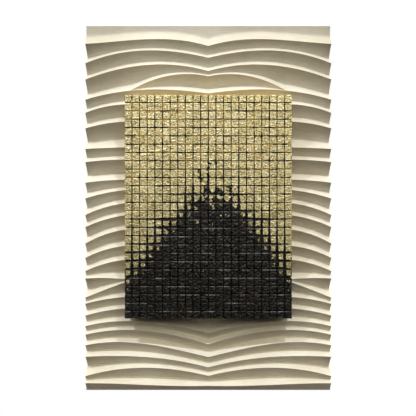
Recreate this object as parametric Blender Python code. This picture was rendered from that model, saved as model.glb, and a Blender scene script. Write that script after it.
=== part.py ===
"""A wall relief: a tall board carved with sharp wave ridges, and a gilded and black mosaic that stands
off in front of it. Metres, +Z up. The back of the board lies in the plane y = 0 and the face looks
along -Y. The origin is the middle of the flat back, where the relief meets the wall."""

import math
import random

import bmesh
import bpy

# The board: its thickness runs from the flat back to the crests of the ridges
BOARD_WIDTH = 0.670
BOARD_HEIGHT = 1.000
BOARD_THICKNESS = 0.040
BACK_WALL = 0.012
HALF_WIDTH_STEPS = 10

# The carving of one ridge, as shares of the drop from the crest above it to its own crest
LEDGE_SHARE = 0.35
DEPTH_SHARE = 0.50
HOLLOW_AT = 0.40
HOLLOW_POWER = 1.3

# The plain margins at the board's top and foot, as shares of the deepest valley and of the height
TOP_EDGE_SHARE = 0.43
FIRST_VALLEY_SHARE = 0.50
FIRST_LEDGE_SHARE = 0.024
FOOT_EDGE_SHARE = 0.43

# How high each crest runs, in thousandths of the board's height: at the board's side, at three and at
# six tenths of the way to the middle, and at the middle, where the two halves meet in a cusp
STATIONS = (0.0, 0.3, 0.6, 1.0)
CRESTS = (
    (947, 955, 960, 941),
    (894, 923, 929, 909),
    (850, 880, 891, 873),
    (714, 805, 854, 859),
    (795, 817, 823, 812),
    (759, 782, 779, 768),
    (717, 735, 734, 721),
    (661, 665, 665, 655),
    (625, 632, 630, 618),
    (569, 577, 575, 561),
    (526, 548, 551, 533),
    (481, 512, 515, 495),
    (448, 479, 483, 461),
    (403, 440, 443, 419),
    (364, 396, 396, 372),
    (328, 358, 358, 333),
    (308, 307, 294, 272),
    (256, 295, 322, 315),
    (239, 257, 256, 232),
    (207, 226, 226, 200),
    (178, 192, 186, 160),
    (155, 168, 161, 129),
    (126, 135, 124, 94),
    (95, 97, 91, 66),
    (42, 62, 64, 43),
    (23, 21, 17, 16),
)

# The fourth ridge grows out of the fifth, and the eighteenth runs into the seventeenth. They are
# counted from 0, and nearer than the least drop two crests are one
UPPER_BRANCH = 3
LOWER_BRANCH = 17
LEAST_DROP = 0.001
MERGE_WITHIN = 0.00001

# The mosaic: split tiles pressed into a dark bed on the face of a slab
TILE_COLUMNS = 22
TILE_ROWS = 27
TILE_WIDTH = 0.0182
TILE_HEIGHT = 0.0200
TILE_DEPTH = 0.010
TILE_UNEVENNESS = 0.0012
TILE_SEED = 5
JOINT_WIDTH = 0.0020
JOINT_DEPTH = 0.0055
BED_DEPTH = 0.003
BLOCK_DEPTH = 0.024
BLOCK_INSET = 0.003
MOSAIC_RISE = 0.0035
CLEARANCE = 0.0003

# The black mound: the heights of its peak and its foot above the mosaic's foot, and how far along the
# mosaic's width the peak stands
MOUND_PEAK = 0.338
MOUND_FOOT = 0.071
MOUND_PEAK_SHARE = 0.54
MOUND_POWER = 1.2

PITCH_X = TILE_WIDTH + JOINT_WIDTH
PITCH_Z = TILE_HEIGHT + JOINT_WIDTH
MOSAIC_WIDTH = TILE_COLUMNS * PITCH_X
MOSAIC_HEIGHT = TILE_ROWS * PITCH_Z
DEEPEST_VALLEY = BOARD_THICKNESS - BACK_WALL
BLOCK_BACK = BOARD_THICKNESS + CLEARANCE
BED_BACK = BLOCK_BACK + BLOCK_DEPTH + CLEARANCE
TILE_BACK = BED_BACK + BED_DEPTH + CLEARANCE


def clear_scene():
    for thing in list(bpy.data.objects):
        bpy.data.objects.remove(thing)


def finish(name, colour, roughness, metallic=0.0):
    material = bpy.data.materials.new(name)
    material.use_nodes = True
    shader = material.node_tree.nodes["Principled BSDF"]
    shader.inputs["Base Color"].default_value = (*colour, 1.0)
    shader.inputs["Roughness"].default_value = roughness
    shader.inputs["Metallic"].default_value = metallic
    return material


def add_piece(name, shape, material):
    bmesh.ops.recalc_face_normals(shape, faces=shape.faces)
    mesh = bpy.data.meshes.new(name)
    shape.to_mesh(mesh)
    shape.free()
    mesh.materials.append(material)
    piece = bpy.data.objects.new(name, mesh)
    bpy.context.scene.collection.objects.link(piece)
    return piece


def through_stations(heights, u):
    """The cubic curve through one crest's four heights, u going from the board's side to its middle."""
    total = 0.0
    for i, here in enumerate(STATIONS):
        weight = 1.0
        for other in STATIONS:
            if other != here:
                weight *= (u - other) / (here - other)
        total += weight * heights[i]
    return total


def crest_heights(u):
    """Every crest's height above the board's foot, from the top ridge down."""
    crests = [BOARD_HEIGHT * through_stations(row, u) / 1000 for row in CRESTS]
    host = crests[UPPER_BRANCH + 1]
    if crests[UPPER_BRANCH] < host + LEAST_DROP:
        crests[UPPER_BRANCH] = host
    host = crests[LOWER_BRANCH - 1]
    if crests[LOWER_BRANCH] > host - LEAST_DROP:
        crests[LOWER_BRANCH] = host
    return crests


def carved_profile(u):
    """The carved face from top to foot, as pairs of depth behind the crests and height above the foot."""
    crests = crest_heights(u)
    points = [
        (TOP_EDGE_SHARE * DEEPEST_VALLEY, BOARD_HEIGHT),
        (FIRST_VALLEY_SHARE * DEEPEST_VALLEY, crests[0] + FIRST_LEDGE_SHARE * BOARD_HEIGHT),
        (0.0, crests[0]),
    ]
    hollow = 1 - (1 - HOLLOW_AT) ** HOLLOW_POWER
    for above, crest in zip(crests, crests[1:]):
        drop = above - crest
        depth = min(DEEPEST_VALLEY, DEPTH_SHARE * drop)
        fall = (1 - LEDGE_SHARE) * drop
        points.append((hollow * depth, above - HOLLOW_AT * fall))
        points.append((depth, above - fall))
        points.append((0.0, crest))
    foot_depth = FOOT_EDGE_SHARE * DEEPEST_VALLEY
    points.append((hollow * foot_depth, (1 - HOLLOW_AT) * crests[-1]))
    points.append((foot_depth, 0.0))
    return points


def wave_board():
    shape = bmesh.new()
    steps = 2 * HALF_WIDTH_STEPS
    columns = []
    for i in range(steps + 1):
        x = BOARD_WIDTH * (i / steps - 0.5)
        u = 1 - abs(i - HALF_WIDTH_STEPS) / HALF_WIDTH_STEPS
        columns.append([
            shape.verts.new((x, depth - BOARD_THICKNESS, height - BOARD_HEIGHT / 2))
            for depth, height in carved_profile(u)
        ])
    for left, right in zip(columns, columns[1:]):
        for k in range(len(left) - 1):
            shape.faces.new((left[k], left[k + 1], right[k + 1], right[k]))
    back = [
        [shape.verts.new((side * BOARD_WIDTH / 2, 0, end * BOARD_HEIGHT / 2)) for end in (1, -1)]
        for side in (-1, 1)
    ]
    shape.faces.new((back[0][0], back[0][1], back[1][1], back[1][0]))
    for column, (upper, lower) in ((columns[0], back[0]), (columns[-1], back[1])):
        shape.faces.new((upper, *column, lower))
    shape.faces.new((back[0][0], back[1][0], *[column[0] for column in reversed(columns)]))
    shape.faces.new((back[0][1], back[1][1], *[column[-1] for column in reversed(columns)]))
    bmesh.ops.remove_doubles(shape, verts=shape.verts, dist=MERGE_WITHIN)
    return shape


def slab(width, height, back, depth):
    """A plain block, centred on the board, from its back plane towards the viewer."""
    shape = bmesh.new()
    bmesh.ops.create_cube(shape, size=1.0)
    bmesh.ops.scale(shape, vec=(width, depth, height), verts=shape.verts)
    bmesh.ops.translate(shape, vec=(0, -back - depth / 2, MOSAIC_RISE), verts=shape.verts)
    return shape


def mound_top(x):
    """The height of the black mound above the mosaic's foot, x running from 0 at its left to 1."""
    reach = MOUND_PEAK_SHARE if x < MOUND_PEAK_SHARE else 1 - MOUND_PEAK_SHARE
    away = abs(x - MOUND_PEAK_SHARE) / reach
    return MOUND_PEAK - (MOUND_PEAK - MOUND_FOOT) * away**MOUND_POWER


def is_black(column, row):
    """Whether a tile lies in the mound. Past the mosaic's rim, the tile on the rim answers."""
    column = min(max(column, 0), TILE_COLUMNS - 1)
    row = min(max(row, 0), TILE_ROWS - 1)
    return (row + 0.5) * PITCH_Z < mound_top((column + 0.5) / TILE_COLUMNS)


def joint_corner(column, row, black):
    """Where four tiles meet, drawn back by half the clearance where tiles of the other finish begin."""
    lean_x = 0
    lean_z = 0
    for side in (-1, 0):
        for end in (-1, 0):
            if is_black(column + side, row + end) == black:
                lean_x += 2 * side + 1
                lean_z += 2 * end + 1
    x = column * PITCH_X - MOSAIC_WIDTH / 2
    z = row * PITCH_Z - MOSAIC_HEIGHT / 2 + MOSAIC_RISE
    if lean_x:
        x += math.copysign(CLEARANCE / 2, lean_x)
    if lean_z:
        z += math.copysign(CLEARANCE / 2, lean_z)
    return x, z


def tile_field(black):
    """All tiles of one finish, each with a face of its own, joined at the bottom of their joints."""
    shape = bmesh.new()
    uneven = random.Random(TILE_SEED)
    grooves = {}

    def groove_point(column, row):
        if (column, row) not in grooves:
            x, z = joint_corner(column, row, black)
            level = TILE_BACK + TILE_DEPTH - JOINT_DEPTH
            grooves[column, row] = shape.verts.new((x, -level, z))
        return grooves[column, row]

    for column in range(TILE_COLUMNS):
        for row in range(TILE_ROWS):
            sinks = [uneven.random() * TILE_UNEVENNESS for corner in range(4)]
            if is_black(column, row) != black:
                continue
            x = (column + 0.5) * PITCH_X - MOSAIC_WIDTH / 2
            z = (row + 0.5) * PITCH_Z - MOSAIC_HEIGHT / 2 + MOSAIC_RISE
            places = ((-0.5, -0.5), (0.5, -0.5), (0.5, 0.5), (-0.5, 0.5))
            face = [
                shape.verts.new((
                    x + side * TILE_WIDTH,
                    sink - TILE_BACK - TILE_DEPTH,
                    z + end * TILE_HEIGHT,
                ))
                for (side, end), sink in zip(places, sinks)
            ]
            foot = [
                groove_point(column + int(side + 0.5), row + int(end + 0.5))
                for side, end in places
            ]
            shape.faces.new(face)
            for k in range(4):
                after = (k + 1) % 4
                shape.faces.new((foot[k], foot[after], face[after], face[k]))
    rim = [edge for edge in shape.edges if edge.is_boundary]
    walls = bmesh.ops.extrude_edge_only(shape, edges=rim)["geom"]
    for part in walls:
        if isinstance(part, bmesh.types.BMVert):
            part.co.y = -TILE_BACK
    back_rim = [part for part in walls if isinstance(part, bmesh.types.BMEdge)]
    bmesh.ops.contextual_create(shape, geom=back_rim)
    return shape


def main():
    clear_scene()
    paint = finish("cream_paint", (0.83, 0.79, 0.68), 0.75)
    dark_wood = finish("dark_stained_wood", (0.030, 0.022, 0.016), 0.7)
    mortar = finish("dark_mortar", (0.022, 0.014, 0.008), 0.9)
    gold = finish("gold_leaf", (0.72, 0.58, 0.26), 0.35, 0.9)
    black = finish("black_tile", (0.018, 0.016, 0.015), 0.45)
    add_piece("wave_board", wave_board(), paint)
    block_width = MOSAIC_WIDTH - 2 * BLOCK_INSET
    block_height = MOSAIC_HEIGHT - 2 * BLOCK_INSET
    add_piece("backing_block", slab(block_width, block_height, BLOCK_BACK, BLOCK_DEPTH), dark_wood)
    add_piece("setting_bed", slab(block_width, block_height, BED_BACK, BED_DEPTH), mortar)
    add_piece("gilded_tiles", tile_field(black=False), gold)
    add_piece("black_tiles", tile_field(black=True), black)


main()
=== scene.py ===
# %% [markdown]
# # Carved waves behind a gilded mosaic
#
# This lesson dresses a wall relief. The real object is a tall board whose face is carved into sharp
# wave ridges and painted matt cream. A slab stands a mosaic of hand-split tiles off in front of its
# middle: the upper tiles are covered in crumpled gold leaf, and the lower ones stay black.
#
# The solid parts are already made and packed. The first step loads them as a fixed frame, so that every
# size below can be read from them.

# %% Load the frame
import math

import bmesh
import bpy
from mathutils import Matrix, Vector


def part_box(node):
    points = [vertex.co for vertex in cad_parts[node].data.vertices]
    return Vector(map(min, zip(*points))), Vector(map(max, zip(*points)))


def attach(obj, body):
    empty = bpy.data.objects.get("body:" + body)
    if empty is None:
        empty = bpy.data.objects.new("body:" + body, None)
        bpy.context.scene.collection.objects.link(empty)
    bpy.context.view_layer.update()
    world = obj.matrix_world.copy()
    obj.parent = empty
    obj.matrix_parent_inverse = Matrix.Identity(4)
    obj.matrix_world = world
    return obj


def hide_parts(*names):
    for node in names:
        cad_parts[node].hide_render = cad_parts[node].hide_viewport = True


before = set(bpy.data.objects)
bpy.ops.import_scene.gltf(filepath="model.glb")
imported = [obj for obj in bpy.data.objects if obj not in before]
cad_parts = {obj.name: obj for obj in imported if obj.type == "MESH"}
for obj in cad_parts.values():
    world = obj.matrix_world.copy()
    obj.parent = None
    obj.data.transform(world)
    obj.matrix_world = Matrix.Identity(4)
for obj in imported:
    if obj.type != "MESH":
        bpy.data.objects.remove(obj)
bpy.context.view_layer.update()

print("pieces in the frame:", sorted(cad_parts))

# %% [markdown]
# ## Sizes
#
# A scene that types its sizes again soon disagrees with its model. So the board, the slab, the bed and
# the mosaic are measured on the frame, and only what the frame can't say, such as how many tiles there
# are, is given here. The face looks along -Y, so "in front" means a lower y.

# %% Measure the board
board_low, board_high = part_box("wave_board")
BOARD_WIDTH = board_high.x - board_low.x
BOARD_HEIGHT = board_high.z - board_low.z
CREST_Y = board_low.y
BACK_WALL = 0.012
DEEPEST_VALLEY = board_high.y - board_low.y - BACK_WALL
print(f"board {BOARD_WIDTH:.3f} by {BOARD_HEIGHT:.3f} m, valleys to {DEEPEST_VALLEY * 1000:.0f} mm")

# %% Measure the mosaic
gilded_low, gilded_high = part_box("gilded_tiles")
TILE_COLUMNS = 22
TILE_ROWS = 27
MOSAIC_LEFT = gilded_low.x
MOSAIC_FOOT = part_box("black_tiles")[0].z
MOSAIC_WIDTH = gilded_high.x - MOSAIC_LEFT
MOSAIC_HEIGHT = gilded_high.z - MOSAIC_FOOT
PITCH_ACROSS = MOSAIC_WIDTH / TILE_COLUMNS
PITCH_UP = MOSAIC_HEIGHT / TILE_ROWS
JOINT_WIDTH = 0.0020
TILE_FRONT = gilded_low.y
TILE_DEPTH = gilded_high.y - TILE_FRONT
print(f"tiles every {PITCH_ACROSS * 1000:.1f} mm across and {PITCH_UP * 1000:.1f} mm up")

# %% [markdown]
# ## Helpers for node trees
#
# Both the shapes and the finishes below are grown by node trees. Drawing a tree by hand in the editor is
# pleasant, but building it in a script makes it repeatable. A few small helpers keep that readable: one
# makes a tree with named sockets, one adds any node and feeds its inputs, one adds a sum, and the rest
# give a plain name to what comes up again and again.

# %% Make a tree and add nodes to it
FLOAT = "NodeSocketFloat"
INTEGER = "NodeSocketInt"
COLOUR = "NodeSocketColor"
SHAPE = "NodeSocketGeometry"
FINISH = "NodeSocketMaterial"


def new_tree(name, kind, inputs, outputs):
    """A tree with named inputs and outputs. Returns it, what comes in and what goes out."""
    tree = bpy.data.node_groups.new(name, kind)
    for label, socket_type, value in inputs:
        socket = tree.interface.new_socket(name=label, in_out="INPUT", socket_type=socket_type)
        if value is not None:
            socket.default_value = value
    for label, socket_type in outputs:
        tree.interface.new_socket(name=label, in_out="OUTPUT", socket_type=socket_type)
    comes_in = tree.nodes.new("NodeGroupInput").outputs
    goes_out = tree.nodes.new("NodeGroupOutput").inputs
    return tree, comes_in, goes_out


def feed(tree, socket, value):
    """Joins a socket to another one, or sets it to a plain value."""
    if isinstance(value, bpy.types.NodeSocket):
        tree.links.new(value, socket)
    else:
        socket.default_value = value


def add(tree, kind, inputs=None, **settings):
    """A node with its settings and its inputs, which are given by name or by number."""
    node = tree.nodes.new(kind)
    for name, value in settings.items():
        setattr(node, name, value)
    for name, value in (inputs or {}).items():
        feed(tree, node.inputs[name], value)
    return node


# %% Sums on sockets
def calc(tree, operation, *terms):
    """One sum on sockets or numbers, such as ADD, POWER or MINIMUM. Returns its result."""
    node = add(tree, "ShaderNodeMath", operation=operation)
    for socket, term in zip(node.inputs, terms):
        feed(tree, socket, term)
    return node.outputs[0]


def minus(tree, value, less):
    """A value less another one."""
    return calc(tree, "SUBTRACT", value, less)


def times(tree, value, *factors):
    """A value times each of the factors in turn."""
    for factor in factors:
        value = calc(tree, "MULTIPLY", value, factor)
    return value


# %% Shares and vectors
def between(tree, value, low, high):
    """How far a value has come from one bound to another, as a share from 0 to 1."""
    inputs = {"Value": value, "From Min": low, "From Max": high}
    return add(tree, "ShaderNodeMapRange", inputs, interpolation_type="SMOOTHSTEP").outputs[0]


def fade(tree, share, start, end):
    """A value that goes from one number to another as the share goes from 0 to 1."""
    return calc(tree, "MULTIPLY_ADD", share, end - start, start)


def rest_of(tree, share):
    """What a share leaves of 1."""
    return minus(tree, 1.0, share)


def parts_of(tree, vector):
    """The x, y and z of a vector."""
    return add(tree, "ShaderNodeSeparateXYZ", {"Vector": vector}).outputs[:]


def vector_of(tree, x=0.0, y=0.0, z=0.0):
    """A vector out of its x, y and z."""
    return add(tree, "ShaderNodeCombineXYZ", {"X": x, "Y": y, "Z": z}).outputs[0]


# %% [markdown]
# A Geometry Nodes tree is put together from the steps below and runs as a modifier. Its inputs are set by
# each socket's identifier before the object is first looked at. The result is then taken off as a plain
# mesh, so that the finished piece carries no modifier and sits at the origin with its place in its mesh.

# %% Steps of a shape tree
def point_place(tree):
    """Where each point of a shape lies."""
    return add(tree, "GeometryNodeInputPosition").outputs[0]


def block_of(tree, size, across, up):
    """A block round the origin, with so many points across and up its face."""
    counts = {"Size": size, "Vertices X": across, "Vertices Y": 2, "Vertices Z": up}
    return add(tree, "GeometryNodeMeshCube", counts).outputs[0]


def moved(tree, shape, **where):
    """The shape with its points at a Position or pushed by an Offset."""
    return add(tree, "GeometryNodeSetPosition", {"Geometry": shape, **where}).outputs[0]


def made_real(tree, shape):
    """The shape with each of its copies turned into real faces."""
    return add(tree, "GeometryNodeRealizeInstances", {"Geometry": shape}).outputs[0]


def finished(tree, shape, finish):
    """The shape with its finish on it."""
    return add(tree, "GeometryNodeSetMaterial", {"Geometry": shape, "Material": finish}).outputs[0]


# %% Run a tree and keep its mesh
def in_scene(name, data):
    """A new object that is part of the scene."""
    thing = bpy.data.objects.new(name, data)
    bpy.context.scene.collection.objects.link(thing)
    return thing


def grown(name, tree, values, start=None):
    """The plain mesh piece that a Geometry Nodes tree makes from its inputs and a starting mesh."""
    piece = in_scene(name, start or bpy.data.meshes.new(name))
    modifier = piece.modifiers.new(tree.name, "NODES")
    modifier.node_group = tree
    for socket in tree.interface.items_tree:
        if socket.in_out == "INPUT" and socket.name in values:
            modifier[socket.identifier] = values[socket.name]
    graph = bpy.context.evaluated_depsgraph_get()
    mesh = bpy.data.meshes.new_from_object(piece.evaluated_get(graph), depsgraph=graph)
    piece.modifiers.clear()
    piece.data = mesh
    mesh.name = name
    print(f"{name}: {len(mesh.polygons)} faces")
    return piece


def soften(piece):
    """Shades a piece smooth, but keeps every edge of more than 30 degrees sharp."""
    piece.data.shade_smooth()
    piece.data.set_sharp_from_angle(angle=math.radians(30))


def stand_for(piece, node):
    """Lets a finished piece stand for a solid of the frame: hangs it under the root and hides the solid."""
    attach(piece, "root")
    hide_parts(node)


# %% [markdown]
# ## Where each ridge runs
#
# The carver's drawing is a set of crest lines. Each half of the board is the mirror of the other, and the
# halves meet in a row of cusps. A crest needs only four heights, from the board's side to its middle, and
# a cubic curve through them does the rest. This is close to how such a panel is drawn, and it keeps every
# ridge one clean sweep, where a free sculpt would wobble. The frame holds the finished solid and not the
# drawing, so the drawing is repeated here, in thousandths of the board's height.
#
# Two ridges are branches: the fourth grows out of the fifth, and the eighteenth runs into the
# seventeenth. There the two crests become one.

# %% The crest lines
STATIONS = (0.0, 0.3, 0.6, 1.0)
CRESTS = (
    (947, 955, 960, 941),
    (894, 923, 929, 909),
    (850, 880, 891, 873),
    (714, 805, 854, 859),
    (795, 817, 823, 812),
    (759, 782, 779, 768),
    (717, 735, 734, 721),
    (661, 665, 665, 655),
    (625, 632, 630, 618),
    (569, 577, 575, 561),
    (526, 548, 551, 533),
    (481, 512, 515, 495),
    (448, 479, 483, 461),
    (403, 440, 443, 419),
    (364, 396, 396, 372),
    (328, 358, 358, 333),
    (308, 307, 294, 272),
    (256, 295, 322, 315),
    (239, 257, 256, 232),
    (207, 226, 226, 200),
    (178, 192, 186, 160),
    (155, 168, 161, 129),
    (126, 135, 124, 94),
    (95, 97, 91, 66),
    (42, 62, 64, 43),
    (23, 21, 17, 16),
)
UPPER_BRANCH = 3
LOWER_BRANCH = 17
LEAST_DROP = 0.001

# %% Curves through the crest lines
def through_stations(heights, u):
    """The cubic curve through one crest's four heights, u going from the board's side to its middle."""
    total = 0.0
    for i, here in enumerate(STATIONS):
        weight = 1.0
        for other in STATIONS:
            if other != here:
                weight *= (u - other) / (here - other)
        total += weight * heights[i]
    return total


def crest_heights(u):
    """Every crest's height above the board's foot, from the top ridge down."""
    crests = [BOARD_HEIGHT * through_stations(row, u) / 1000 for row in CRESTS]
    host = crests[UPPER_BRANCH + 1]
    if crests[UPPER_BRANCH] < host + LEAST_DROP:
        crests[UPPER_BRANCH] = host
    host = crests[LOWER_BRANCH - 1]
    if crests[LOWER_BRANCH] > host - LEAST_DROP:
        crests[LOWER_BRANCH] = host
    return crests


print(f"{len(CRESTS)} crests, the top one {crest_heights(1.0)[0] * 1000:.0f} mm up at the middle")

# %% [markdown]
# ## A net for the carving
#
# Before anything is carved, the board is a slab with lines drawn on its face. The net below is that
# drawing: its rows follow the crests, and each point remembers where it lies between two of them. The
# ridges could also be pushed out of an even grid, but that would cut each sharp crest into stairs. Here
# an edge of the net runs along every crest, so the crests stay crisp.
#
# Each point stores how far down its strip it lies, how much of the strip is the bright ledge that faces
# up, and how deep the strip starts, bottoms out and ends.

# %% Strips between the crests
LEDGE_SHARE = 0.35
DEPTH_SHARE = 0.50
TOP_EDGE_DEPTH = 0.43 * DEEPEST_VALLEY
FIRST_VALLEY_DEPTH = 0.50 * DEEPEST_VALLEY
FIRST_LEDGE_HEIGHT = 0.024 * BOARD_HEIGHT
FOOT_EDGE_DEPTH = 0.43 * DEEPEST_VALLEY
FACE_STEPS = 9
LEDGE_STEPS = 6


def strips(u):
    """From the top down: each strip's upper and lower height, ledge share, start, valley and end depth."""
    crests = crest_heights(u)
    first_share = FIRST_LEDGE_HEIGHT / (BOARD_HEIGHT - crests[0])
    found = [(BOARD_HEIGHT, crests[0], first_share, TOP_EDGE_DEPTH, FIRST_VALLEY_DEPTH, 0.0)]
    for above, crest in zip(crests, crests[1:]):
        valley = min(DEEPEST_VALLEY, DEPTH_SHARE * (above - crest))
        found.append((above, crest, LEDGE_SHARE, 0.0, valley, 0.0))
    found.append((crests[-1], 0.0, 0.0, 0.0, FOOT_EDGE_DEPTH, FOOT_EDGE_DEPTH))
    return found


def ways(ledge):
    """Shares of the way down a strip: even steps down its face, then even steps down its ledge."""
    face = [(1 - ledge) * i / FACE_STEPS for i in range(FACE_STEPS)]
    if not ledge:
        return face
    return face + [1 - ledge + ledge * i / LEDGE_STEPS for i in range(LEDGE_STEPS)]


# %% One upright line of the net
FACTS = ("way", "ledge", "start", "valley", "end", "carved")


def net_column(u):
    """The points of one line, each with its height and the facts that the carving needs."""
    points = []
    for upper, lower, ledge, start, valley, end in strips(u):
        for way in ways(ledge):
            points.append((upper - way * (upper - lower), (way, ledge, start, valley, end, 1.0)))
    points.append((0.0, (1.0, 0.0, 0.0, FOOT_EDGE_DEPTH, FOOT_EDGE_DEPTH, 1.0)))
    return points


# %% The whole net
HALF_WIDTH_STEPS = 60


def wave_net():
    """The uncarved slab, closed, with its face drawn as a net and the facts stored on its points."""
    shape = bmesh.new()
    layers = [shape.verts.layers.float.new(name) for name in FACTS]
    columns = []
    for i in range(-HALF_WIDTH_STEPS, HALF_WIDTH_STEPS + 1):
        x = BOARD_WIDTH / 2 * i / HALF_WIDTH_STEPS
        column = []
        for height, facts in net_column(1 - abs(i) / HALF_WIDTH_STEPS):
            point = shape.verts.new((x, CREST_Y, board_low.z + height))
            for layer, fact in zip(layers, facts):
                point[layer] = fact
            column.append(point)
        columns.append(column)
    for left, right in zip(columns, columns[1:]):
        for k in range(len(left) - 1):
            shape.faces.new((left[k], left[k + 1], right[k + 1], right[k]))
    close_slab(shape, columns)
    bmesh.ops.recalc_face_normals(shape, faces=shape.faces)
    net = bpy.data.meshes.new("wave_net")
    shape.to_mesh(net)
    shape.free()
    return net


def close_slab(shape, columns):
    """Adds the two sides, the top, the foot and the flat back behind a net."""
    per_strip = FACE_STEPS + LEDGE_STEPS
    backs = []
    for column in (columns[0], columns[-1]):
        knots = [*range(0, len(column) - 1, per_strip), len(column) - 1]
        back = [shape.verts.new((column[k].co.x, board_high.y, column[k].co.z)) for k in knots]
        for k in range(len(back) - 1):
            run = column[knots[k]:knots[k + 1] + 1]
            shape.faces.new((back[k], *run, back[k + 1]))
        backs.append(back)
    left, right = backs
    shape.faces.new((*left, *reversed(right)))
    shape.faces.new((left[0], *[column[0] for column in columns], right[0]))
    shape.faces.new((left[-1], *[column[-1] for column in columns], right[-1]))


net = wave_net()
print(f"net: {len(net.vertices)} points")

# %% [markdown]
# ## Carving the waves
#
# A ball-nosed cutter makes each wave. Under a sharp crest the face falls back in a hollow sweep, and from
# the bottom of the valley a straight ledge comes out again to the next crest. Both surfaces follow from
# how far down its strip a point lies, so a Geometry Nodes tree does the cutting: it works out the two,
# takes the shallower one, rounds the valley where they meet, and pushes the point back by that much.
#
# Paint over hand sanding is never quite flat, so a faint ripple goes on top.

# %% The depth of the cut at a point
LEAST_LEDGE = 0.001


def hollow_depth(tree, fact, power, foot_power):
    """The hollow face that falls back from the crest above, by its own power where no ledge follows."""
    down_face = calc(tree, "MINIMUM", calc(tree, "DIVIDE", fact["way"], rest_of(tree, fact["ledge"])), 1.0)
    has_ledge = calc(tree, "GREATER_THAN", fact["ledge"], LEAST_LEDGE)
    bend = calc(tree, "MULTIPLY_ADD", has_ledge, minus(tree, power, foot_power), foot_power)
    left_over = calc(tree, "POWER", rest_of(tree, down_face), bend)
    fall = minus(tree, fact["valley"], fact["start"])
    return calc(tree, "MULTIPLY_ADD", fall, rest_of(tree, left_over), fact["start"])


def ledge_depth(tree, fact):
    """The straight ledge that comes out to the crest below. A strip without one gets a far depth."""
    share = calc(tree, "MAXIMUM", fact["ledge"], LEAST_LEDGE)
    above_crest = calc(tree, "DIVIDE", rest_of(tree, fact["way"]), share)
    rise = minus(tree, fact["valley"], fact["end"])
    depth = calc(tree, "MULTIPLY_ADD", rise, above_crest, fact["end"])
    return calc(tree, "ADD", depth, calc(tree, "LESS_THAN", fact["ledge"], LEAST_LEDGE))


# %% The carving tree
def carving_tree():
    inputs = [
        ("Net", SHAPE, None),
        ("Hollow power", FLOAT, 1.3),
        ("Foot power", FLOAT, 2.0),
        ("Valley round", FLOAT, 0.25),
        ("Ripple height", FLOAT, 0.0007),
        ("Ripples per metre", FLOAT, 45.0),
        ("Seed", FLOAT, 3.0),
        ("Same point", FLOAT, 0.00002),
        ("Paint", FINISH, None),
    ]
    tree, comes_in, goes_out = new_tree("carve_waves", "GeometryNodeTree", inputs, [("Board", SHAPE)])
    fact = {}
    for name in FACTS:
        reader = add(tree, "GeometryNodeInputNamedAttribute", {"Name": name}, data_type="FLOAT")
        fact[name] = reader.outputs[0]
    hollow = hollow_depth(tree, fact, comes_in["Hollow power"], comes_in["Foot power"])
    rounding = times(tree, fact["valley"], comes_in["Valley round"])
    depth = calc(tree, "SMOOTH_MIN", hollow, ledge_depth(tree, fact), rounding)
    noise = {"W": comes_in["Seed"], "Scale": comes_in["Ripples per metre"], "Detail": 2.0}
    ripple = add(tree, "ShaderNodeTexNoise", noise, noise_dimensions="4D").outputs[0]
    depth = calc(tree, "MULTIPLY_ADD", ripple, comes_in["Ripple height"], depth)
    push = vector_of(tree, y=times(tree, depth, fact["carved"]))
    carved = moved(tree, comes_in["Net"], Offset=push)
    same_point = {"Geometry": carved, "Distance": comes_in["Same point"]}
    merged = add(tree, "GeometryNodeMergeByDistance", same_point).outputs[0]
    feed(tree, goes_out[0], finished(tree, made_real(tree, merged), comes_in["Paint"]))
    return tree


# %% [markdown]
# ## Helpers for finishes
#
# Each finish is a node material on one Principled shader. A finish reads the Object coordinates of its
# piece, in metres, so that a grain of 3 mm is 3 mm on every piece and a pattern runs on from one piece
# to the next. What more than one finish needs becomes a node group.

# %% Make a material and blend colours
def new_finish(name, roughness, specular):
    """An empty material. Returns it, its tree and its shader."""
    material = bpy.data.materials.new(name)
    material.use_nodes = True
    tree = material.node_tree
    shader = tree.nodes["Principled BSDF"]
    shader.inputs["Roughness"].default_value = roughness
    shader.inputs["Specular IOR Level"].default_value = specular
    return material, tree, shader


def blend(tree, share, low, high):
    """A colour that goes from one to another as the share goes from 0 to 1."""
    node = add(tree, "ShaderNodeMix", {0: share, 6: low, 7: high}, data_type="RGBA")
    return node.outputs[2]


def use_group(tree, group, values):
    """Places a node group in a material with its own values. Returns its outputs."""
    return add(tree, "ShaderNodeGroup", values, node_tree=group).outputs


def place_on_piece(tree):
    """Where a point lies on the piece, in metres."""
    return add(tree, "ShaderNodeTexCoord").outputs["Object"]


def noise_at(tree, place, per_metre, detail=2.0, roughness=0.5):
    """Soft noise from 0 to 1, with so many waves to the metre."""
    inputs = {"Vector": place, "Scale": per_metre, "Detail": detail, "Roughness": roughness}
    return add(tree, "ShaderNodeTexNoise", inputs).outputs[0]


def bumped(tree, height, distance, strength=1.0, **below):
    """A normal that leans with a height of so many metres, over another Normal if one is given."""
    inputs = {"Height": height, "Distance": distance, "Strength": strength, **below}
    return add(tree, "ShaderNodeBump", inputs).outputs[0]


# %% [markdown]
# ## The mound line
#
# On the real mosaic the black tiles stand in one mound, and the leaf ends along its slopes. The same line
# decides three things: which tiles are left black, where the leaf on a tile tears, and how far down the
# leaf goes on the slab's sides. So one helper works it out in any tree, for shapes and finishes alike.

# %% Height above the mound line
MOUND_PEAK = 0.338
MOUND_FOOT = 0.071
MOUND_PEAK_SHARE = 0.54
MOUND_POWER = 1.2


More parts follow.
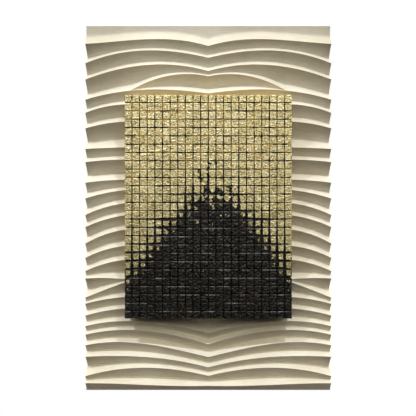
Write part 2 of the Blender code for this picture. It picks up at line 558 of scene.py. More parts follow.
def above_mound(tree, x, z):
    """How far a point lies above the mound line, and how far from the peak towards the mosaic's side."""
    share = calc(tree, "DIVIDE", minus(tree, x, MOSAIC_LEFT), MOSAIC_WIDTH)
    on_left = calc(tree, "LESS_THAN", share, MOUND_PEAK_SHARE)
    reach = calc(tree, "MULTIPLY_ADD", on_left, 2 * MOUND_PEAK_SHARE - 1, 1 - MOUND_PEAK_SHARE)
    off_peak = calc(tree, "ABSOLUTE", minus(tree, share, MOUND_PEAK_SHARE))
    away = calc(tree, "DIVIDE", off_peak, reach)
    slope = calc(tree, "POWER", away, MOUND_POWER)
    line = calc(tree, "MULTIPLY_ADD", slope, MOUND_FOOT - MOUND_PEAK, MOSAIC_FOOT + MOUND_PEAK)
    return minus(tree, z, line), away


# %% [markdown]
# ## Leaf that tears
#
# Gold leaf was laid over the tiles and torn away above the mound. It tears first where it bridges a
# joint, so black climbs the joints for several tiles before it reaches a tile's middle. Round the peak
# the tiles' middles were rubbed bare too, which leaves scraps of gold between black joints. Painting
# that by hand would fix it to one size. A mask that is built from the mound line, the distance to the
# next joint and some noise behaves in the same way and stays editable.

# %% How far bare stone climbs a joint
def off_centre(tree, cells):
    """0 in the middle of a tile's cell and 1 in the middle of a joint."""
    inside = minus(tree, calc(tree, "FRACT", cells), 0.5)
    return times(tree, calc(tree, "ABSOLUTE", inside), 2.0)


def tile_cells(tree, x, z):
    """How many columns from the left and how many rows from the foot a point lies."""
    column = calc(tree, "DIVIDE", minus(tree, x, MOSAIC_LEFT), PITCH_ACROSS)
    row = calc(tree, "DIVIDE", minus(tree, z, MOSAIC_FOOT), PITCH_UP)
    return column, row


def joint_climb(tree, cells, least, most, seed):
    """The share of the full climb at a point: large in a joint, small beside it, different for each."""
    joint = {"W": calc(tree, "ADD", calc(tree, "ROUND", cells), seed)}
    luck = add(tree, "ShaderNodeTexWhiteNoise", joint, noise_dimensions="1D").outputs[0]
    in_joint = calc(tree, "POWER", off_centre(tree, cells), 3.0)
    return times(tree, in_joint, fade(tree, luck, least, most))


# %% Black climbs farther down the slopes
CLIMB_AT_PEAK = 0.90
CLIMB_AT_FOOT = 1.70


def black_climb(group, column, row, away, full_climb):
    """How far black climbs at a point, by the upright and the level joint nearest to it."""
    upright = joint_climb(group, column, 0.45, 1.30, 253.0)
    level = joint_climb(group, row, 0.60, 1.15, 50.0)
    climb = times(group, calc(group, "MAXIMUM", upright, level), full_climb)
    return times(group, climb, fade(group, away, CLIMB_AT_PEAK, CLIMB_AT_FOOT))


# %% Tiles rubbed bare round the peak
RUBS_PER_METRE = 60.0
RUBBED_SHARE = 0.54
LARGEST_SCRAP = 0.08


def rubbed_middles(group, place, column, row, away):
    """Below 0 where a tile's middle was rubbed bare, and above 0 where a scrap of leaf was left."""
    to_rim = calc(group, "MAXIMUM", off_centre(group, column), off_centre(group, row))
    in_tile = rest_of(group, calc(group, "POWER", to_rim, 4.0))
    near_peak = rest_of(group, between(group, away, 0.14, 0.30))
    rub = minus(group, noise_at(group, place, RUBS_PER_METRE), RUBBED_SHARE)
    rub = calc(group, "MINIMUM", rub, LARGEST_SCRAP)
    return times(group, rub, near_peak, in_tile)


# %% The leaf mask
FLAT_TOP = 0.282
TEARS_PER_METRE = 230.0
WANDERS_PER_METRE = 14.0
WANDER_HEIGHT = 0.05
TORN_EDGE_WIDTH = 0.002


def leaf_cover_group():
    inputs = [("Climb", FLOAT, 0.14), ("Tear", FLOAT, 0.14), ("Rubbed", FLOAT, 0.50)]
    group, comes_in, goes_out = new_tree("leaf_cover", "ShaderNodeTree", inputs, [("Leaf", FLOAT)])
    place = place_on_piece(group)
    x, _, z = parts_of(group, place)
    height, away = above_mound(group, x, z)
    height = calc(group, "MAXIMUM", height, minus(group, z, MOSAIC_FOOT + FLAT_TOP))
    column, row = tile_cells(group, x, z)
    climb = black_climb(group, column, row, away, comes_in["Climb"])
    rub = rubbed_middles(group, place, column, row, away)
    torn = minus(group, noise_at(group, place, TEARS_PER_METRE, 3.0, 0.65), 0.5)
    wander = minus(group, noise_at(group, place, WANDERS_PER_METRE), 0.5)
    wander = times(group, wander, WANDER_HEIGHT)
    edge = calc(group, "MULTIPLY_ADD", torn, comes_in["Tear"], wander)
    edge = calc(group, "MULTIPLY_ADD", rub, comes_in["Rubbed"], edge)
    clear = minus(group, calc(group, "ADD", height, edge), climb)
    feed(group, goes_out["Leaf"], between(group, clear, 0.0, TORN_EDGE_WIDTH))
    return group


LEAF_COVER = leaf_cover_group()
print("leaf cover:", len(LEAF_COVER.nodes), "nodes")

# %% [markdown]
# ## Crumpled gold and split stone
#
# Leaf this thick takes a press of small creases, each a few millimetres across, and every facet between
# them turns the light its own way. Cells give the facets their bumps, and each cell also gets a tone of its
# own, a painted light and shade per facet. Noise over them gives the worn and the dull patches. The black
# tile below is split, not polished: its grain is coarser, with raised specks that are rusty in patches.

# %% Creases of the leaf
DULL_LEAF = ((0.36, 0.29, 0.12, 1.0), (0.84, 0.73, 0.40, 1.0))
PALE_LEAF = ((0.50, 0.42, 0.20, 1.0), (0.96, 0.86, 0.53, 1.0))


def leaf_creases_group():
    inputs = [("Creases per metre", FLOAT, 240.0)]
    outputs = [("Height", FLOAT), ("Colour", COLOUR)]
    group, comes_in, goes_out = new_tree("leaf_creases", "ShaderNodeTree", inputs, outputs)
    place = place_on_piece(group)
    facets = add(group, "ShaderNodeTexVoronoi", {"Vector": place, "Scale": comes_in["Creases per metre"]})
    facet_tone, lean = parts_of(group, facets.outputs["Color"])[:2]
    soft = noise_at(group, place, 300.0, 2.0, 0.6)
    crease = times(group, facets.outputs["Distance"], calc(group, "ADD", lean, 0.4))
    height = calc(group, "MULTIPLY_ADD", crease, 0.8, times(group, soft, 0.6))
    feed(group, goes_out["Height"], height)
    scuffs = noise_at(group, place, 420.0, 1.0)
    # Each facet's own tone is painted light and shade, mixed here with scuffs that stand for wear.
    wear_and_facet_shade = between(group, calc(group, "MULTIPLY_ADD", facet_tone, 0.20, scuffs), 0.50, 0.66)
    dull = blend(group, wear_and_facet_shade, *DULL_LEAF)
    pale = blend(group, wear_and_facet_shade, *PALE_LEAF)
    patch = between(group, noise_at(group, place, 34.0), 0.36, 0.60)
    feed(group, goes_out["Colour"], blend(group, patch, dull, pale))
    return group


LEAF_CREASES = leaf_creases_group()

# %% Grain of split stone
BLACK_STONE = ((0.001, 0.001, 0.001, 1.0), (0.024, 0.023, 0.022, 1.0))
RUSTY_STONE = ((0.008, 0.003, 0.002, 1.0), (0.066, 0.025, 0.016, 1.0))


def split_grain_group():
    inputs = [("Grains per metre", FLOAT, 170.0)]
    outputs = [("Height", FLOAT), ("Specks", FLOAT), ("Colour", COLOUR)]
    group, comes_in, goes_out = new_tree("split_grain", "ShaderNodeTree", inputs, outputs)
    place = place_on_piece(group)
    grain = noise_at(group, place, comes_in["Grains per metre"], 2.0, 0.4)
    feed(group, goes_out["Height"], grain)
    specks = between(group, grain, 0.46, 0.58)
    feed(group, goes_out["Specks"], specks)
    stone = blend(group, specks, *BLACK_STONE)
    rust = blend(group, specks, *RUSTY_STONE)
    patches = between(group, noise_at(group, place, 38.0, 3.0), 0.54, 0.76)
    feed(group, goes_out["Colour"], blend(group, patches, stone, rust))
    return group


SPLIT_GRAIN = split_grain_group()

# %% [markdown]
# ## Joints of many tones
#
# Between gilded tiles the mortar stands at every height. Where it nearly fills the joint, the leaf
# bridges it and the joint glows brown or all but closes. Where it lies deep, the joint is black. One slow
# noise decides both, so that the shape of the bed and the tone on it agree.
#
# The same group masks what lies beside a joint: the ragged sliver of each tile that is painted as dark
# as the joint, as painted shade; the rim next to it, which gets a painted glint on the leaf; and the top
# edge of each black tile, which gets a painted highlight in broken lines.

# %% How full a joint is
def joint_fill(tree, place):
    """0 where the mortar lies deep and dark, 1 where it nearly fills the joint."""
    return between(tree, noise_at(tree, place, 44.0, 3.0, 0.6), 0.43, 0.57)


# %% Masks beside the joints
DEEP_JOINT = (0.050, 0.014, 0.001, 1.0)
BRIDGED_JOINT = (0.34, 0.195, 0.045, 1.0)
# How strongly the tile beside a deep and a bridged joint is painted to the joint's tone, as painted shade.
DEEP_JOINT_SHADE = 0.98
BRIDGED_JOINT_SHADE = 0.38


def joint_tone_group():
    masks = [(label, FLOAT) for label in ("Beside", "Painted glint", "Painted lit top", "Joint shade")]
    outputs = [*masks, ("Colour", COLOUR)]
    group, _, goes_out = new_tree("joint_tone", "ShaderNodeTree", [], outputs)
    place = place_on_piece(group)
    x, _, z = parts_of(group, place)
    column, row = tile_cells(group, x, z)
    to_rim = calc(group, "MAXIMUM", off_centre(group, column), off_centre(group, row))
    fill = joint_fill(group, place)
    ragged = calc(group, "MULTIPLY_ADD", noise_at(group, place, 160.0), 0.22, to_rim)
    ragged = calc(group, "MULTIPLY_ADD", fill, -0.05, ragged)
    beside = between(group, ragged, 0.93, 0.97)
    feed(group, goes_out["Beside"], beside)
    # A band of each gilded tile next to its joint gets a painted glint.
    rim = minus(group, between(group, ragged, 0.76, 0.86), beside)
    feed(group, goes_out["Painted glint"], rim)
    # The top edge of each black tile gets a painted highlight in broken lines.
    top_rim = between(group, calc(group, "FRACT", row), 0.78, 0.86)
    top_rim = times(group, top_rim, rest_of(group, beside))
    broken = between(group, noise_at(group, place, 30.0, 3.0), 0.46, 0.62)
    feed(group, goes_out["Painted lit top"], times(group, top_rim, broken))
    # How strongly the tile beside this joint is painted dark, as painted shade of the joint.
    feed(group, goes_out["Joint shade"], fade(group, fill, DEEP_JOINT_SHADE, BRIDGED_JOINT_SHADE))
    feed(group, goes_out["Colour"], blend(group, fill, DEEP_JOINT, BRIDGED_JOINT))
    return group


JOINT_TONE = joint_tone_group()

# %% [markdown]
# ## Uneven by hand
#
# Paint, stain and a poured floor were all laid by hand here. Each has a fine stipple that can be felt and
# slow clouds of tone that can only be seen, so one group gives both to all of them.

# %% Stipple and clouds
CLOUDS_PER_METRE = 9.0


def hand_finish_group():
    inputs = [("Strokes per metre", FLOAT, 900.0)]
    outputs = [("Height", FLOAT), ("Tone", FLOAT)]
    group, comes_in, goes_out = new_tree("hand_finish", "ShaderNodeTree", inputs, outputs)
    place = place_on_piece(group)
    stipple = noise_at(group, place, comes_in["Strokes per metre"], 3.0, 0.6)
    feed(group, goes_out["Height"], stipple)
    feed(group, goes_out["Tone"], noise_at(group, place, CLOUDS_PER_METRE, 3.0))
    return group


HAND_FINISH = hand_finish_group()
print("shared finishes:", LEAF_CREASES.name, SPLIT_GRAIN.name, JOINT_TONE.name, HAND_FINISH.name)

# %% [markdown]
# ## The cream paint
#
# The board is fibreboard under a matt cream paint, so its colour barely shines and comes back warmer
# wherever it is lit by its own bounce in the valleys. It was brushed along the ridges, which leaves faint
# streaks over slow clouds of tone. The narrow strip under the last ridge faces down and gets little light,
# so it is painted a darker grey as painted shade. The back was never painted: it shows the bare brown
# board, with a little overspray round the edge.

# %% Mix the cream paint
CREAM = ((0.77, 0.720, 0.614, 1.0), (0.86, 0.816, 0.718, 1.0))
# Painted shade for the strip under the last ridge, and how high up it reaches.
PAINTED_FOOT_SHADE = (0.50, 0.49, 0.45, 1.0)
FOOT_SHADE_TOP = 0.018
BARE_BOARD = ((0.24, 0.155, 0.085, 1.0), (0.36, 0.25, 0.15, 1.0))
STREAKS_PER_METRE = 260.0
STREAK_STRETCH = 0.12


def cream_paint():
    material, tree, shader = new_finish("cream_paint", roughness=0.7, specular=0.3)
    hand = use_group(tree, HAND_FINISH, {"Strokes per metre": 900.0})
    place = place_on_piece(tree)
    x, y, z = parts_of(tree, place)
    brushed = vector_of(tree, times(tree, x, STREAK_STRETCH), y, z)
    streaks = noise_at(tree, brushed, STREAKS_PER_METRE, 3.0, 0.6)
    tone = between(tree, calc(tree, "ADD", hand["Tone"], streaks), 0.75, 1.25)
    # The strip under the last ridge is painted darker grey as painted shade.
    foot_shade = between(tree, z, board_low.z + FOOT_SHADE_TOP, board_low.z + 0.3 * FOOT_SHADE_TOP)
    cream = blend(tree, foot_shade, blend(tree, tone, *CREAM), PAINTED_FOOT_SHADE)
    bare = blend(tree, noise_at(tree, place, 500.0, 4.0, 0.7), *BARE_BOARD)
    spray = calc(tree, "MULTIPLY_ADD", hand["Height"], 0.0008, y)
    unpainted = between(tree, spray, -0.0002, 0.0006)
    feed(tree, shader.inputs["Base Color"], blend(tree, unpainted, cream, bare))
    feed(tree, shader.inputs["Normal"], bumped(tree, hand["Height"], 0.0001, 0.6))
    return material


# %% Carve and paint the board
board = grown("carved_board", carving_tree(), {"Paint": cream_paint()}, net)
soften(board)
stand_for(board, "wave_board")

# %% [markdown]
# ## The finish of the tiles
#
# Gilded and black tiles are the same split tile, and only the leaf differs, so one function mixes both
# finishes. Under the leaf mask the surface is creased metal, which softens the grain below it, and
# elsewhere it is black stone. A leaf on a rough ground is never a mirror, so it stays partly matt.

# %% Colour of a tile
# Colour of the painted glint on the leaf next to each joint.
PAINTED_RIM_GLINT = (1.0, 0.92, 0.62, 1.0)
# Colour of the painted highlight along the top edge of each black tile.
PAINTED_LIT_STONE = (0.150, 0.148, 0.146, 1.0)
# Near black painted on the stone beside each joint, as painted shade of the joint.
PAINTED_JOINT_SHADE = (0.001, 0.001, 0.001, 1.0)


def tile_colour(tree, leaf, creases, grain, joint):
    """Gold with a painted glint at the rim and painted joint shade, over stone with a painted top highlight.
    """
    # The leaf's rim is painted brighter as a painted highlight.
    painted_glint = times(tree, joint["Painted glint"], 0.40)
    # Beside each joint the gold is painted towards the joint's tone as painted shade.
    joint_shade = times(tree, joint["Beside"], joint["Joint shade"])
    gold = blend(tree, painted_glint, creases["Colour"], PAINTED_RIM_GLINT)
    gold = blend(tree, joint_shade, gold, joint["Colour"])
    # The stone's top edge is painted lighter as a painted highlight.
    stone = blend(tree, joint["Painted lit top"], grain["Colour"], PAINTED_LIT_STONE)
    # Beside each joint the stone is painted near black as painted shade.
    stone = blend(tree, joint["Beside"], stone, PAINTED_JOINT_SHADE)
    return blend(tree, leaf, stone, gold)


# %% Mix the tile finishes
TILE_CLIMB = 0.14
LEAF_METAL = 0.75
ROUGHEST = 0.44
SMOOTHEST = 0.22
SPLIT_DEPTH = 0.0042
CREASE_DEPTH = 0.0016
GRAIN_UNDER_LEAF = 0.4


def tile_finish(name):
    material, tree, shader = new_finish(name, roughness=ROUGHEST, specular=0.40)
    leaf = use_group(tree, LEAF_COVER, {"Climb": TILE_CLIMB})["Leaf"]
    creases = use_group(tree, LEAF_CREASES, {"Creases per metre": 320.0})
    grain = use_group(tree, SPLIT_GRAIN, {"Grains per metre": 170.0})
    joint = use_group(tree, JOINT_TONE, {})
    feed(tree, shader.inputs["Base Color"], tile_colour(tree, leaf, creases, grain, joint))
    feed(tree, shader.inputs["Metallic"], times(tree, leaf, LEAF_METAL))
    polish = calc(tree, "MAXIMUM", grain["Specks"], joint["Beside"])
    stone_gloss = fade(tree, polish, ROUGHEST, SMOOTHEST)
    roughness = calc(tree, "MAXIMUM", stone_gloss, times(tree, leaf, ROUGHEST))
    feed(tree, shader.inputs["Roughness"], roughness)
    split = bumped(tree, grain["Height"], SPLIT_DEPTH, fade(tree, leaf, 1.0, GRAIN_UNDER_LEAF))
    creased = bumped(tree, creases["Height"], CREASE_DEPTH, leaf, Normal=split)
    feed(tree, shader.inputs["Normal"], creased)
    return material


GILDED = tile_finish("gilded_split_tile")
BLACK = tile_finish("black_split_tile")

# %% [markdown]
# ## One split tile
#
# Every tile is the same small block, struck by hand and never quite alike. With 594 of them, one tile has
# to stay light: five points across and up on its face are enough. Its outer ring of points is drawn to
# the rim and set back, which gives the soft worn edge that catches the light along each tile's top.

# %% A tile with a worn rim
FACE_POINTS = 5
TOWARDS_RIM = 0.16


def tile_shape(tree, comes_in):
    """One tile round its own centre, with a few dozen faces."""
    width = minus(tree, comes_in["Pitch across"], comes_in["Joint"])
    height = minus(tree, comes_in["Pitch up"], comes_in["Joint"])
    size = vector_of(tree, width, comes_in["Depth"], height)
    block = block_of(tree, size, FACE_POINTS, FACE_POINTS)
    x, y, z = parts_of(tree, point_place(tree))
    half_width = times(tree, width, 0.5)
    half_height = times(tree, height, 0.5)
    out_across = calc(tree, "DIVIDE", calc(tree, "ABSOLUTE", x), half_width)
    out_up = calc(tree, "DIVIDE", calc(tree, "ABSOLUTE", z), half_height)
    on_rim = calc(tree, "GREATER_THAN", calc(tree, "MAXIMUM", out_across, out_up), 0.9)
    in_front = calc(tree, "LESS_THAN", y, 0.0)
    set_back = times(tree, on_rim, in_front, comes_in["Rim"])
    spread_x = times(tree, calc(tree, "SIGN", x), half_width)
    spread_z = times(tree, calc(tree, "SIGN", z), half_height)
    place = vector_of(
        tree,
        times(tree, spread_x, calc(tree, "POWER", out_across, TOWARDS_RIM)),
        calc(tree, "ADD", y, set_back),
        times(tree, spread_z, calc(tree, "POWER", out_up, TOWARDS_RIM)),
    )
    return moved(tree, block, Position=place)


# %% [markdown]
# ## Laying the tiles
#
# The mosaic is a plain grid, so a grid of points carries it: one point for each tile, with its number
# stored on it. The mound line then deletes the points of the other finish. What makes a mosaic look laid
# by hand is that no tile sits like its neighbour, so each gets its own size and a tilt of a degree or
# two.

# %% The points that carry the tiles
def tile_points(tree, comes_in):
    """One point in the middle of each tile of the wanted finish, with the tile's number stored on it."""
    across = times(tree, comes_in["Pitch across"], minus(tree, comes_in["Columns"], 1))
    up = times(tree, comes_in["Pitch up"], minus(tree, comes_in["Rows"], 1))
    size = {
        "Size X": across,
        "Size Y": up,
        "Vertices X": comes_in["Columns"],
        "Vertices Y": comes_in["Rows"],
    }
    grid = add(tree, "GeometryNodeMeshGrid", size).outputs[0]
    x, y, _ = parts_of(tree, point_place(tree))
    stood_up = vector_of(
        tree,
        calc(tree, "ADD", x, comes_in["Middle x"]),
        calc(tree, "MULTIPLY_ADD", comes_in["Depth"], 0.5, comes_in["Front y"]),
        calc(tree, "ADD", y, comes_in["Middle z"]),
    )
    upright = moved(tree, grid, Position=stood_up)
    number = {"Geometry": upright, "Name": "tile", "Value": add(tree, "GeometryNodeInputIndex").outputs[0]}
    numbered = add(tree, "GeometryNodeStoreNamedAttribute", number, domain="POINT").outputs[0]
    x, _, z = parts_of(tree, point_place(tree))
    in_mound =calc(tree, "LESS_THAN", above_mound(tree, x, z)[0], 0.0)
    unwanted = calc(tree, "ABSOLUTE", minus(tree, in_mound, comes_in["Black"]))
    chosen = {"Geometry": numbered, "Selection": calc(tree, "GREATER_THAN", unwanted, 0.5)}
    return add(tree, "GeometryNodeDeleteGeometry", chosen, domain="POINT").outputs[0]


# %% Chips and dents
def strike(tree, comes_in, tiles):
    """Moves each point of the laid tiles a little, by noise that differs from tile to tile."""
    number = add(tree, "GeometryNodeInputNamedAttribute", {"Name": "tile"}, data_type="FLOAT").outputs[0]
    place = point_place(tree)
    noise = {
        "Vector": place,
        "W": calc(tree, "MULTIPLY_ADD", number, 1.7, comes_in["Seed"]),
        "Scale": comes_in["Dents per metre"],
        "Detail": 2.0,
    }
    dents = add(tree, "ShaderNodeTexNoise", noise, noise_dimensions="4D").outputs["Color"]
    across, inward, up = parts_of(tree, dents)
    x, y, z = parts_of(tree, place)
    middle = calc(tree, "MULTIPLY_ADD", comes_in["Depth"], 0.5, comes_in["Front y"])
    in_front = calc(tree, "LESS_THAN", y, middle)
    dented = calc(tree, "MULTIPLY_ADD", times(tree, inward, in_front), comes_in["Dents"], y)
    struck = vector_of(
        tree,
        calc(tree, "MULTIPLY_ADD", minus(tree, across, 0.5), comes_in["Chips"], x),
        calc(tree, "MAXIMUM", dented, comes_in["Front y"]),
        calc(tree, "MULTIPLY_ADD", minus(tree, up, 0.5), comes_in["Chips"], z),
    )
    return moved(tree, tiles, Position=struck)


# %% The laying tree
def random_vector(tree, low, high, seed):
    """A random vector for each point, between a low and a high one."""
    inputs = {0: low, 1: high, "Seed": seed}
    return add(tree, "FunctionNodeRandomValue", inputs, data_type="FLOAT_VECTOR").outputs[0]


def laying_tree():
    inputs = [
        ("Columns", INTEGER, TILE_COLUMNS),
        ("Rows", INTEGER, TILE_ROWS),
        ("Pitch across", FLOAT, PITCH_ACROSS),
        ("Pitch up", FLOAT, PITCH_UP),
        ("Middle x", FLOAT, MOSAIC_LEFT + MOSAIC_WIDTH / 2),
        ("Middle z", FLOAT, MOSAIC_FOOT + MOSAIC_HEIGHT / 2),
        ("Front y", FLOAT, TILE_FRONT),
        ("Depth", FLOAT, TILE_DEPTH),
        ("Joint", FLOAT, JOINT_WIDTH),
        ("Rim", FLOAT, 0.0008),
        ("Tilt", FLOAT, math.radians(1.4)),
        ("Smallest", FLOAT, 0.965),
        ("Chips", FLOAT, 0.0013),
        ("Dents", FLOAT, 0.0012),
        ("Dents per metre", FLOAT, 150.0),
        ("Black", FLOAT, 0.0),
        ("Seed", INTEGER, 5),
        ("Finish", FINISH, None),
    ]
    tree, comes_in, goes_out = new_tree("lay_tiles", "GeometryNodeTree", inputs, [("Tiles", SHAPE)])
    tilt = comes_in["Tilt"]
    back_tilt = times(tree, tilt, -1.0)
    turn = random_vector(
        tree,
        vector_of(tree, back_tilt, back_tilt, back_tilt),
        vector_of(tree, tilt, tilt, tilt),
        comes_in["Seed"],
    )
    smallest = comes_in["Smallest"]
    size = random_vector(
        tree,
        vector_of(tree, smallest, 1.0, smallest),
        (1.0, 1.0, 1.0),
        calc(tree, "ADD", comes_in["Seed"], 1),
    )
    laid = {
        "Points": tile_points(tree, comes_in),
        "Instance": tile_shape(tree, comes_in),
        "Rotation": turn,
        "Scale": size,
    }
    tiles = add(tree, "GeometryNodeInstanceOnPoints", laid).outputs[0]
    struck = strike(tree, comes_in, made_real(tree, tiles))
    feed(tree, goes_out[0], finished(tree, struck, comes_in["Finish"]))
    return tree


# %% Lay both kinds of tile
lay_tiles = laying_tree()
gilded = grown("gilded_mosaic", lay_tiles, {"Black": 0.0, "Finish": GILDED})
black = grown("black_mosaic", lay_tiles, {"Black": 1.0, "Rim": 0.0006, "Dents": 0.0016, "Finish": BLACK})
stand_for(gilded, "gilded_tiles")
stand_for(black, "black_tiles")

# %% [markdown]
# ## The bed and the slab
#
# The tiles are pressed into dark mortar, which squeezes up between them and keeps the joints dark. Here
# and there the leaf was pressed down into a joint and glows brown. The slab behind carries it all and
# seats on the crests of the waves. Its top edge is gilded too, and in the photograph that edge throws a
# golden light up into the groove above the mosaic.

# %% Mix the mortar
MORTAR_CLIMB = 0.17
BARE_MORTAR = (0.006, 0.005, 0.004, 1.0)


def mortar_finish():
    material, tree, shader = new_finish("dark_mortar", roughness=0.85, specular=0.2)
    leaf = use_group(tree, LEAF_COVER, {"Climb": MORTAR_CLIMB})["Leaf"]
    grain = use_group(tree, SPLIT_GRAIN, {"Grains per metre": 700.0})
    joint = use_group(tree, JOINT_TONE, {})
    feed(tree, shader.inputs["Base Color"], blend(tree, leaf, BARE_MORTAR, joint["Colour"]))
    feed(tree, shader.inputs["Normal"], bumped(tree, grain["Height"], 0.0008))
    return material


# %% The mortar tree
def mortar_tree():
    inputs = [
        ("Width", FLOAT, 0.44),
        ("Thickness", FLOAT, 0.008),
        ("Height", FLOAT, 0.58),
        ("Middle", "NodeSocketVector", None),
        ("Points across", INTEGER, 111),
        ("Points up", INTEGER, 147),
        ("Hollows", FLOAT, 0.006),
        ("Finish", FINISH, None),
    ]
    tree, comes_in, goes_out = new_tree("spread_mortar", "GeometryNodeTree", inputs, [("Bed", SHAPE)])
    size = vector_of(tree, comes_in["Width"], comes_in["Thickness"], comes_in["Height"])
    slab = block_of(tree, size, comes_in["Points across"], comes_in["Points up"])
    in_place = moved(tree, slab, Offset=comes_in["Middle"])
    place = point_place(tree)
    middle_y = parts_of(tree, comes_in["Middle"])[1]
    in_front = calc(tree, "LESS_THAN", parts_of(tree, place)[1], middle_y)
    empty = rest_of(tree, joint_fill(tree, place))
    inward = times(tree, empty, in_front, comes_in["Hollows"])
    spread = moved(tree, in_place, Offset=vector_of(tree, y=inward))
    feed(tree, goes_out[0], finished(tree, made_real(tree, spread), comes_in["Finish"]))
    return tree


# %% Spread the mortar
JOINT_DEPTH = 0.0012
bed_low, bed_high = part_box("setting_bed")
mortar_front = TILE_FRONT + JOINT_DEPTH
bed_values = {
    "Width": bed_high.x - bed_low.x,
    "Thickness": bed_high.y - mortar_front,
    "Height": bed_high.z - bed_low.z,
    "Middle": (0.0, (bed_high.y + mortar_front) / 2, (bed_low.z + bed_high.z) / 2),
    "Finish": mortar_finish(),
}
bed = grown("mortar_bed", mortar_tree(), bed_values)
stand_for(bed, "setting_bed")

# %% [markdown]
# Leaf was carried round the slab's top and sides too, down to a torn line above the mound. It is a
# deeper, older gold there than on the tiles. Below the line the slab is only stained dark.

# %% Mix the slab's finish
STAIN = ((0.018, 0.013, 0.010, 1.0), (0.050, 0.036, 0.026, 1.0))
OLD_GOLD = (0.66, 0.45, 0.08, 1.0)
OLD_GOLD_SHARE = 0.75
STAIN_ROUGHNESS = 0.60
GOLD_ROUGHNESS = 0.42
LEAF_START = 0.030


def slab_finish():
    material, tree, shader = new_finish("stained_slab", roughness=STAIN_ROUGHNESS, specular=0.3)
    place = place_on_piece(tree)
    x, _, z = parts_of(tree, place)
    torn = minus(tree, noise_at(tree, place, 60.0, 4.0, 0.6), 0.5)
    clear = calc(tree, "MULTIPLY_ADD", torn, 0.08, above_mound(tree, x, z)[0])
    leaf = between(tree, clear, LEAF_START, LEAF_START + 0.004)
    creases = use_group(tree, LEAF_CREASES, {"Creases per metre": 240.0})
    hand = use_group(tree, HAND_FINISH, {"Strokes per metre": 300.0})
    stain = blend(tree, hand["Tone"], *STAIN)
    gold = blend(tree, OLD_GOLD_SHARE, creases["Colour"], OLD_GOLD)
    feed(tree, shader.inputs["Base Color"], blend(tree, leaf, stain, gold))
    feed(tree, shader.inputs["Metallic"], times(tree, leaf, LEAF_METAL))
    feed(tree, shader.inputs["Roughness"], fade(tree, leaf, STAIN_ROUGHNESS, GOLD_ROUGHNESS))
    feed(tree, shader.inputs["Normal"], bumped(tree, creases["Height"], 0.0006, leaf))
    return material


# %% Saw the slab and ease its edges
EASED_EDGE = 0.0012


def slab_shape(low, high):
    """A block between two corners, with its edges sanded round."""
    shape = bmesh.new()
    bmesh.ops.create_cube(shape, size=1.0)
    size = high - low
    for point in shape.verts:
        share = point.co + Vector((0.5, 0.5, 0.5))
        point.co = low + Vector((share.x * size.x, share.y * size.y, share.z * size.z))
    bmesh.ops.bevel(shape, geom=shape.edges, offset=EASED_EDGE, segments=3, profile=0.5, affect="EDGES")
    bmesh.ops.recalc_face_normals(shape, faces=shape.faces)
    mesh = bpy.data.meshes.new("backing_slab")
    shape.to_mesh(mesh)
    shape.free()
    return mesh


slab = in_scene("backing_slab", slab_shape(*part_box("backing_block")))
slab.data.materials.append(slab_finish())
soften(slab)
stand_for(slab, "backing_block")
print(f"slab: {len(slab.data.polygons)} faces")

# %% [markdown]
# ## The camera
#
# The photograph was taken square on, from a good metre away. At the plane of the crests the picture spans
# a little more than the board's height, which fixes the lens.

# %% Set the camera
PICTURE_SPAN = 1.1324
CAMERA_DISTANCE = 1.300
camera_data = bpy.data.cameras.new("camera")
camera_data.angle = 2 * math.atan(PICTURE_SPAN / 2 / CAMERA_DISTANCE)
camera = in_scene("camera", camera_data)
camera.location = (-0.0008, CREST_Y - CAMERA_DISTANCE, 0.0)
camera.rotation_euler = (math.radians(90), 0.0, 0.0)
bpy.context.scene.camera = camera

# %% [markdown]
# ## The light
#
# Two ceiling lamps light the wall from high above. They are what draws the waves: every ledge that faces
# up is bright, and every hollow below a crest lies in shade. Each lamp is a spot that aims at the lower
# half of the board, where it is farther off, so the foot comes out as bright as the top. A warm room
# fills the shadows, far more from above than from below, while the camera sees plain white behind.

# %% Hang the lamps
LAMP_AIM = Vector((0.0, CREST_Y, -0.30))
LAMP_COLOUR = (0.86, 0.93, 1.0)
LAMP_RADIUS = 0.05
LAMP_SPREAD = 34
LAMP_IN_FRONT = 1.3
LAMP_HEIGHT = 2.20


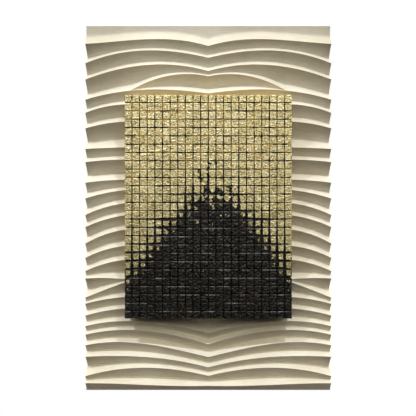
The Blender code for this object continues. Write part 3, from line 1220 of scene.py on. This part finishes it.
def ceiling_lamp(name, sideways, power):
    """A spot lamp in front, so many metres to the side, that points at the lower half of the board."""
    lamp_data = bpy.data.lights.new(name, "SPOT")
    lamp_data.energy = power
    lamp_data.spot_size = math.radians(LAMP_SPREAD)
    lamp_data.spot_blend = 1.0
    lamp_data.shadow_soft_size = LAMP_RADIUS
    lamp_data.color = LAMP_COLOUR
    lamp = in_scene(name, lamp_data)
    lamp.location = (sideways, CREST_Y - LAMP_IN_FRONT, LAMP_HEIGHT)
    lamp.rotation_euler = (LAMP_AIM - lamp.location).to_track_quat("-Z", "Y").to_euler()


ceiling_lamp("lamp_left", -1.27, 115.0)
ceiling_lamp("lamp_right", 0.62, 97.0)

# %% Fill the room with light
ROOM_COLOUR = (1.0, 0.92, 0.73, 1.0)
WHITE = (1.0, 1.0, 1.0, 1.0)
FROM_BELOW = 0.02
FROM_ABOVE = 1.42
DIM_UP_TO = 0.15
FULL_FROM = 0.45

world = bpy.data.worlds.new("gallery")
bpy.context.scene.world = world
world.use_nodes = True
sky = world.node_tree
seen = add(sky, "ShaderNodeLightPath").outputs["Is Camera Ray"]
z = parts_of(sky, add(sky, "ShaderNodeTexCoord").outputs["Generated"])[2]
room =fade(sky, between(sky, z, DIM_UP_TO, FULL_FROM), FROM_BELOW, FROM_ABOVE)
background = sky.nodes["Background"]
feed(sky, background.inputs["Color"], blend(sky, seen, ROOM_COLOUR, WHITE))
feed(sky, background.inputs["Strength"], calc(sky, "MAXIMUM", room, seen))
bpy.context.scene.view_settings.view_transform = "Standard"

# %% [markdown]
# ## The floor
#
# A plain pale floor lies below the hung relief. It sends a little light up into the hollows, which face
# down, and it ends soon enough behind the board to stay out of the picture.

# %% Pour the floor
FLOOR_Z = -1.50
FLOOR_RADIUS = 0.45
PALE_FLOOR = ((0.70, 0.69, 0.66, 1.0), (0.80, 0.79, 0.76, 1.0))


def floor_finish():
    material, tree, shader = new_finish("pale_floor", roughness=0.8, specular=0.2)
    hand = use_group(tree, HAND_FINISH, {"Strokes per metre": 60.0})
    feed(tree, shader.inputs["Base Color"], blend(tree, hand["Tone"], *PALE_FLOOR))
    return material


floor_shape = bmesh.new()
bmesh.ops.create_circle(floor_shape, cap_ends=True, segments=96, radius=FLOOR_RADIUS)
for point in floor_shape.verts:
    point.co.z = FLOOR_Z
floor_mesh = bpy.data.meshes.new("floor")
floor_shape.to_mesh(floor_mesh)
floor_shape.free()
floor_mesh.materials.append(floor_finish())
floor = in_scene("floor", floor_mesh)
